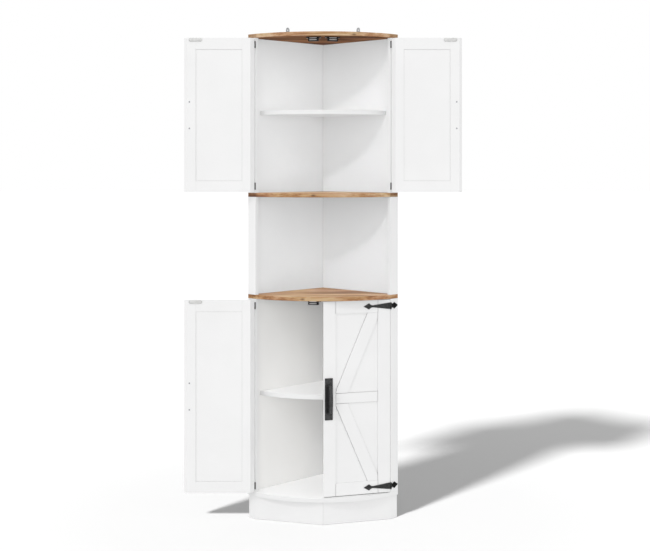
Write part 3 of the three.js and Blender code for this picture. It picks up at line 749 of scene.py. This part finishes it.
def rubHighlightAt(bm, share):
    # keeps on each vertex how far the black coat is rubbed paler there, from 0 to 1; the paler grey is partly
    # wear and partly a painted highlight
    layer = bm.verts.layers.float.new("rubbed")
    for v in bm.verts:
        v[layer] = share(v.co)


def backPlateMesh():
    s = handle
    x, z = s["width"] / 2, s["height"] / 2
    corners = [(-x, -z), (x, -z), (x, z), (-x, z)]
    bm = bmeshFrom(corners)
    roundCorners(bm, corners, s["plateCorner"], s["cornerSegments"])
    thicken(bm, (0, s["plate"], 0))
    easeFront(bm, s["plateEdge"])
    for level in s["plateCuts"]:
        for side in (-1, 1):
            bmesh.ops.bisect_plane(bm, geom=bm.verts[:] + bm.edges[:] + bm.faces[:], dist=mergeDistance,
                                   plane_co=(0, 0, side * level * mm), plane_no=(0, 0, 1))

    # the ends of the plate are rubbed paler, partly wear and partly a painted highlight
    def rubbed(spot):
        # each cut towards an end of the plate starts the next share
        past = [abs(spot.z) > (level - s["cutSlack"]) * mm for level in s["plateCuts"]]
        return s["plateRubShares"][sum(past)]

    rubHighlightAt(bm, rubbed)
    return bm


def gripMesh():
    # the side view of the grip, drawn with its rise along x, pulled out to the bar's width
    s = handle
    foot = s["plate"] / 2
    top, back, outer, inner = s["rise"], s["rise"] - s["thickness"], s["foot"], s["foot"] - s["thickness"]
    bm = bmeshFrom([(foot, -outer), (top, -outer), (top, outer), (foot, outer),
                    (foot, inner), (back, inner), (back, -inner), (foot, -inner)])
    roundCorners(bm, [(top, -outer), (top, outer)], s["footRound"], s["outerSegments"])
    roundCorners(bm, [(back, -inner), (back, inner)], s["footRound"] - s["thickness"], s["innerSegments"])
    long = [e for e in bm.edges if e.calc_length() > s["shoulder"] * mm]
    bmesh.ops.subdivide_edges(bm, edges=long, cuts=s["bowCuts"])
    for v in bm.verts:
        share = 1 - (v.co.z / (s["shoulder"] * mm)) ** 2
        if share > 0:
            v.co.x += s["bow"] * mm * share
    thicken(bm, (0, s["gripWidth"], 0))

    def onFront(spot):
        # whether a place, in metres with its rise along x, is on the side that a hand closes round
        up = max(spot.x - (s["rise"] - s["footRound"]) * mm, 0)
        along = max(abs(spot.z) - (s["foot"] - s["footRound"]) * mm, 0)
        return math.hypot(up, along) > (s["footRound"] - s["thickness"] / 2) * mm

    easeEdges(bm, s["crown"], s["crownSegments"], keep=lambda e: all(onFront(v.co) for v in e.verts))
    easeEdges(bm, s["gripEdge"], s["gripSegments"], keep=lambda e: not any(onFront(v.co) for v in e.verts))
    half = s["gripWidth"] / 2 * mm
    # the front of the grip is rubbed palest along the middle of its width, as a painted highlight as well as
    # wear
    rubHighlightAt(bm, lambda spot: s["gripRubShare"] * (1 - ((spot.y - half) / half) ** 2) if onFront(spot) else 0)
    # from (rise, width, height) to the door's x across, y out and z up
    return moved(bm, Matrix(((0, 1, 0, -half), (1, 0, 0, 0), (0, 0, 1, 0), (0, 0, 0, 1))))


backPlate = backPlateMesh()
grip = gripMesh()
handleNails = headsAt(nailHead, [(x, handle["plate"], z) for x in (-handle["nailSide"], handle["nailSide"])
                                 for z in (-handle["nailRise"], handle["nailRise"])])
handleBolts = headsAt(smallHead, [(0, 0, z) for z in (-handle["boltRise"], handle["boltRise"])],
                      Matrix.Rotation(math.pi, 4, "Z"))

for door in doorNames:
    short = door[:-len("_door")]
    place = doorPlace(door, turnOf[door])
    low, high = spanIn(place, short + "_door_frame")
    across = high.x - handle["inset"] * mm
    middle = (low.z + high.z) / 2
    seat = place @ Matrix.Translation((across, high.y, middle)) @ shift(0, handle["gap"], 0)
    inside = place @ Matrix.Translation((across, low.y, middle))
    for name, shape, spot, metal, slotName, replaced in (
            ("_handle_plate", backPlate, seat, rubbedHighlitIron, "black_iron", [short + "_handle"]),
            ("_handle_grip", grip, seat, rubbedHighlitIron, "black_iron", [short + "_handle"]),
            ("_handle_nails", handleNails, seat, oxidedIron, "black_iron", []),
            ("_handle_bolts", handleBolts, inside, zincSteel, "plated_steel", [])):
        addPiece(short + name, moved(shape, spot), [metal], door, replaced)
print("handles made")


# Strike plates and catches

strike = {
    "holes": 30.0, "edge": 0.4, "edgeSegments": 2, "endSegments": 14, "headRadius": 2.9, "headHeight": 0.2,
}
catch = {
    "edge": 0.5, "holes": 50.0, "holeInset": 5.0, "ear": 4.5, "mouthDepth": 2.5, "rooted": 1.0,
    "poleLength": 27.0, "poleThickness": 2.6, "poleRise": 3.4, "poleOut": 0.25, "poleEdge": 0.2,
    "magnetEnd": 1.0, "magnetBack": 0.6, "magnetEdge": 0.25, "segments": 2,
}
sunkHead = screwHead(strike["headRadius"], strike["headHeight"])  # lets the plate close flat on the catch


def strikeMesh(size):
    # a plate with round ends
    x, half = size.x / 2 / mm, size.z / 2 / mm
    corners = [(-x, -half), (x, -half), (x, half), (-x, half)]
    bm = bmeshFrom(corners)
    roundCorners(bm, corners, half * fullRound, strike["endSegments"])
    thicken(bm, (0, size.y / mm, 0))
    easeEdges(bm, strike["edge"], strike["edgeSegments"])
    return bm


def polesMesh(middle):
    # the two steel pole pieces that close the magnet's circuit, one over and one under it
    x, half = catch["poleLength"] / 2, catch["poleThickness"] / 2
    root = -catch["mouthDepth"] - catch["rooted"]
    poles = []
    for z in (middle - catch["poleRise"], middle + catch["poleRise"]):
        pole = blockMesh((-x, root, z - half), (x, catch["poleOut"], z + half))
        easeEdges(pole, catch["poleEdge"], catch["segments"])
        poles.append(pole)
    return gathered(poles)


def magnetMesh(middle):
    # the magnet between the pole pieces
    x = catch["poleLength"] / 2 - catch["magnetEnd"]
    z = catch["poleRise"] - catch["poleThickness"] / 2
    root = -catch["mouthDepth"] - catch["rooted"]
    magnet = blockMesh((-x, root, middle - z), (x, -catch["magnetBack"], middle + z))
    easeEdges(magnet, catch["magnetEdge"], catch["segments"])
    return magnet


strikeScrews = headsAt(sunkHead, [(side * strike["holes"] / 2, 0, 0) for side in (-1, 1)],
                       Matrix.Rotation(math.pi, 4, "Z"))

for door in doorNames:
    short = door[:-len("_door")]
    place = doorPlace(door, turnOf[door])
    node = short + "_strike_plate"
    low, high = spanIn(place, node)
    seat = place @ Matrix.Translation(((low.x + high.x) / 2, low.y, (low.z + high.z) / 2))
    addPiece(node + "_pressed", moved(strikeMesh(high - low), seat), [nickelSteel], door,
             [node])
    addPiece(node + "_screws", moved(strikeScrews, seat), [nickelSteel], door)

    node = short + "_catch"
    easedCopy(node, catch["edge"], [mouldedPlastic], "cabinet")
    closed = doorPlace(door, 0)
    low, high = spanIn(closed, node)
    seat = closed @ Matrix.Translation(((low.x + high.x) / 2, high.y, high.z))
    mouth = (low.z - high.z) / 2 / mm
    addPiece(node + "_poles", moved(polesMesh(mouth), seat), [nickelSteel], "cabinet")
    addPiece(node + "_magnet", moved(magnetMesh(mouth), seat), [mouldedPlastic], "cabinet")
    hole = (low.y - high.y) / mm + catch["holeInset"]
    screws = headsAt(smallHead, [(side * catch["holes"] / 2, hole, -catch["ear"]) for side in (-1, 1)],
                     Matrix.Rotation(-math.pi / 2, 4, "X"))
    addPiece(node + "_screws", moved(screws, seat), [zincSteel], "cabinet")
print("catches and strike plates made")


# Brackets on the top board

bracket = {
    "thickness": 2.0, "topSegments": 12, "footCorner": 5.0, "footSegments": 8, "bend": 2.6, "bendSegments": 5,
    "hole": 3.0, "holeSides": 28, "holeRise": 31.0, "drillLength": 8.0, "footHole": 16.0, "near": 0.01,
}


def bracketMesh(size):
    # a strip bent to an angle: x across it, y into the room's wall, z up
    s = bracket
    width, foot, rise = [length / mm for length in size]
    half = width / 2
    side = [(0, 0), (0, rise), (-s["thickness"], rise), (-s["thickness"], s["thickness"]),
            (-foot, s["thickness"]), (-foot, 0)]
    angle = bmesh.new()
    angle.faces.new([angle.verts.new((-half * mm, y * mm, z * mm)) for y, z in side])
    thicken(angle, (width, 0, 0))

    def same(first, second):
        return abs(first - second) < s["near"] * mm

    def roundAt(test, radius, segments):
        # rounds the edges whose two ends pass the test
        bevel(angle, [e for e in angle.edges if test(*[v.co for v in e.verts])], radius, segments)

    roundAt(lambda a, b: same(a.z, size.z) and same(b.z, size.z) and same(a.x, b.x),
            half * fullRound, s["topSegments"])
    roundAt(lambda a, b: same(a.y, -size.y) and same(b.y, -size.y) and same(a.x, b.x),
            s["footCorner"], s["footSegments"])
    roundAt(lambda a, b: same(a.y, 0) and same(b.y, 0) and same(a.z, 0) and same(b.z, 0),
            s["bend"], s["bendSegments"])
    drill = barMesh(s["hole"], s["drillLength"], s["holeSides"])
    spot = shift(0, -s["thickness"] / 2, s["holeRise"]) @ Matrix.Rotation(math.pi / 2, 4, "X")
    return combined(angle, moved(drill, spot), "DIFFERENCE")


bracketScrew = headsAt(panHead, [(0, -bracket["footHole"], bracket["thickness"])],
                       Matrix.Rotation(math.pi / 2, 4, "X"))

for side in ("left", "right"):
    node = side + "_wall_bracket"
    wall = wallPlace(side)
    low, high = spanIn(wall, node)
    seat = wall @ Matrix.Translation(((low.x + high.x) / 2, high.y, low.z))
    addPiece(node + "_bent", moved(bracketMesh(high - low), seat), [zincSteel], "cabinet",
             [node])
    addPiece(node + "_screw", moved(bracketScrew, seat), [zincSteel], "cabinet")
print("brackets made")


# Joining screws: sunk into the outer faces of the walls, in a row at each stile and one at each shelf

joining = {"radius": 3.6, "height": 0.35, "fromEnd": 9.0, "fromLevel": 45.0, "shelfPlaces": (70.0, 260.0)}
flatHead = screwHead(joining["radius"], joining["height"])
shelfOf = {"lower": "lower_shelf", "upper": "upper_shelf"}

for side in ("left", "right"):
    wall = wallPlace(side)
    for section in ("lower", "niche", "upper"):
        low, high = spanIn(wall, section + "_" + side + "_wall")
        bottom, top = low.z / mm, high.z / mm
        rows = [bottom + joining["fromLevel"], (bottom + top) / 2, top - joining["fromLevel"]]
        places = [(high.x / mm + joining["fromEnd"], 0, z) for z in rows]
        if section in shelfOf:
            shelfLow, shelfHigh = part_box(shelfOf[section])
            places += [(x, 0, (shelfLow.z + shelfHigh.z) / 2 / mm) for x in joining["shelfPlaces"]]
        addPiece(section + "_" + side + "_wall_screws", moved(headsAt(flatHead, places), wall), [zincSteel],
                 "cabinet")
print("joining screws set")


# Floor and sky. The floor's tone fades from near to far, and its bounce is darker than it looks.

floorLook = {
    "shader": {"Roughness": 0.9, "Specular IOR Level": 0.0}, "sizeM": 60, "drop": 0.5,
    "near": "#b2b2b2", "far": "#bcbcbc", "fadeM": (0.8, 2.4), "bounce": "#a2a2a2",
}
skyStrength = 0.86


def makeFloor():
    bm = bmesh.new()
    bmesh.ops.create_grid(bm, x_segments=1, y_segments=1, size=floorLook["sizeM"])
    mesh = bpy.data.meshes.new("floor")
    bm.to_mesh(mesh)
    bm.free()
    floor = bpy.data.objects.new("floor", mesh)
    floor.location.z = -floorLook["drop"] * mm
    bpy.context.scene.collection.objects.link(floor)
    material, tree, shader = startMaterial("studio_floor", floorLook["shader"])
    place = addNode(tree, "ShaderNodeTexCoord").outputs["Object"]
    away = addNode(tree, "ShaderNodeVectorMath", {"operation": "LENGTH"}, {0: place})
    near, far = floorLook["fadeM"]
    fade = addNode(tree, "ShaderNodeMapRange",
                   inputs={"Value": away.outputs["Value"], "From Min": near, "From Max": far})
    seen = addNode(tree, "ShaderNodeMix", colourMix, {
        mixBy: fade.outputs["Result"], mixFrom: linear(floorLook["near"]), mixTo: linear(floorLook["far"])})
    path = addNode(tree, "ShaderNodeLightPath")
    colour = addNode(tree, "ShaderNodeMix", colourMix, {
        mixBy: path.outputs["Is Diffuse Ray"], mixFrom: seen.outputs[mixed],
        mixTo: linear(floorLook["bounce"])})
    setInputs(tree, shader, {"Base Color": colour.outputs[mixed]})
    mesh.materials.append(material)
    floor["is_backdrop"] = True
    return floor


def makeSky():
    # an even light that the camera, metal and glass see as plain white
    world = bpy.data.worlds.new("studio")
    bpy.context.scene.world = world
    world.use_nodes = True
    tree = world.node_tree
    tree.nodes.clear()
    path = addNode(tree, "ShaderNodeLightPath")
    both = {"operation": "ADD", "use_clamp": True}
    seen = addNode(tree, "ShaderNodeMath", both,
                   {0: path.outputs["Is Camera Ray"], 1: path.outputs["Is Glossy Ray"]})
    shown = addNode(tree, "ShaderNodeMath", both,
                    {0: seen.outputs[0], 1: path.outputs["Is Transmission Ray"]})
    white = linear("#ffffff")
    light = addNode(tree, "ShaderNodeBackground", inputs={"Color": white, "Strength": skyStrength})
    backdrop = addNode(tree, "ShaderNodeBackground", inputs={"Color": white, "Strength": 1.0})
    mix = addNode(tree, "ShaderNodeMixShader",
                  inputs={0: shown.outputs[0], 1: light.outputs[0], 2: backdrop.outputs[0]})
    addNode(tree, "ShaderNodeOutputWorld", inputs={"Surface": mix.outputs[0]})


# Lamps, with the azimuth and elevation that their light comes from, and its softness, in degrees.
# One lamp throws the floor's shadow and another the shadows on the walls, because no single lamp fits both.

lamps = {
    "key_on_floor": {"strength": 6.8, "azimuth": 36.0, "elevation": 38.4, "softness": 7.0},
    "key_on_walls": {"strength": 0.47, "azimuth": 32.0, "elevation": 35.5, "softness": 7.0},
    "key_on_cupboard": {"strength": 0.33, "azimuth": 36.0, "elevation": 38.4, "softness": 7.0},
    "low_fill": {"strength": 0.31, "azimuth": 4.0, "elevation": 8.0, "softness": 60.0},
    "wall_fill": {"strength": 0.33, "azimuth": -4.0, "elevation": -12.0, "softness": 30.0},
    "lower_fill": {"strength": 0.86, "azimuth": -4.0, "elevation": 3.0, "softness": 30.0, "tint": "#fffbef"},
    "edge_fill": {"strength": 0.15, "azimuth": 4.0, "elevation": 8.0, "softness": 60.0},
    "high_fill": {"strength": 0.85, "azimuth": 180.0, "elevation": 80.0, "softness": 12.0},
}


def makeSun(name, receivers, blockers=()):
    # a lamp that lights only its receivers; where blockers are given, nothing else throws its shadow
    look = lamps[name]
    lamp = bpy.data.lights.new(name, "SUN")
    lamp.energy = look["strength"]
    lamp.color = linear(look.get("tint", "#ffffff"))[:3]
    lamp.angle = math.radians(look["softness"])
    sun = bpy.data.objects.new(name, lamp)
    azimuth, elevation = math.radians(look["azimuth"]), math.radians(look["elevation"])
    towards = Vector((-math.sin(azimuth) * math.cos(elevation), -math.cos(azimuth) * math.cos(elevation),
                      math.sin(elevation)))
    sun.rotation_euler = towards.to_track_quat("Z", "Y").to_euler()
    bpy.context.scene.collection.objects.link(sun)
    for role, pieces in (("receiver", receivers), ("blocker", blockers)):
        if pieces:
            linked = bpy.data.collections.new(name + "_" + role + "s")
            for piece in pieces:
                linked.objects.link(piece)
            setattr(sun.light_linking, role + "_collection", linked)


floor = makeFloor()
makeSky()
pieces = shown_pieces()
walls = [piece for node, piece in eased.items() if node.endswith("_wall")]
lowerWall = eased["lower_left_wall"]
levelBoards = [piece for node, piece in eased.items() if node.endswith(("_shelf", "_board"))]
doorBoards = [piece for node, piece in eased.items() if "_door_" in node]
makeSun("key_on_floor", [floor])
makeSun("key_on_walls", walls)
makeSun("key_on_cupboard", [piece for piece in pieces if piece not in walls])
makeSun("low_fill", [floor] + [piece for piece in pieces if piece not in levelBoards])
makeSun("wall_fill", [wall for wall in walls if wall != lowerWall], pieces)
makeSun("lower_fill", [lowerWall])
makeSun("edge_fill", levelBoards)
makeSun("high_fill", levelBoards, doorBoards)

# The photograph was taken level, with the horizon row above the middle of the frame.
photo = {"width": 650, "height": 551, "centreColumn": 323.02, "horizonRow": 165.9, "focalPixels": 1283.0,
         "cameraHeight": 1.310, "cameraDistance": 4.856, "sensor": 36}
camera = bpy.data.objects.new("camera", bpy.data.cameras.new("camera"))
camera.data.sensor_width = photo["sensor"]
camera.data.lens = photo["focalPixels"] / photo["width"] * photo["sensor"]
camera.data.shift_x = (photo["width"] / 2 - photo["centreColumn"]) / photo["width"]
camera.data.shift_y = (photo["horizonRow"] - photo["height"] / 2) / photo["width"]
camera.location = (0, -photo["cameraDistance"], photo["cameraHeight"])
camera.rotation_euler = (math.pi / 2, 0, 0)
bpy.context.scene.collection.objects.link(camera)
bpy.context.scene.camera = camera
bpy.context.scene.view_settings.view_transform = "Standard"
print("studio set")
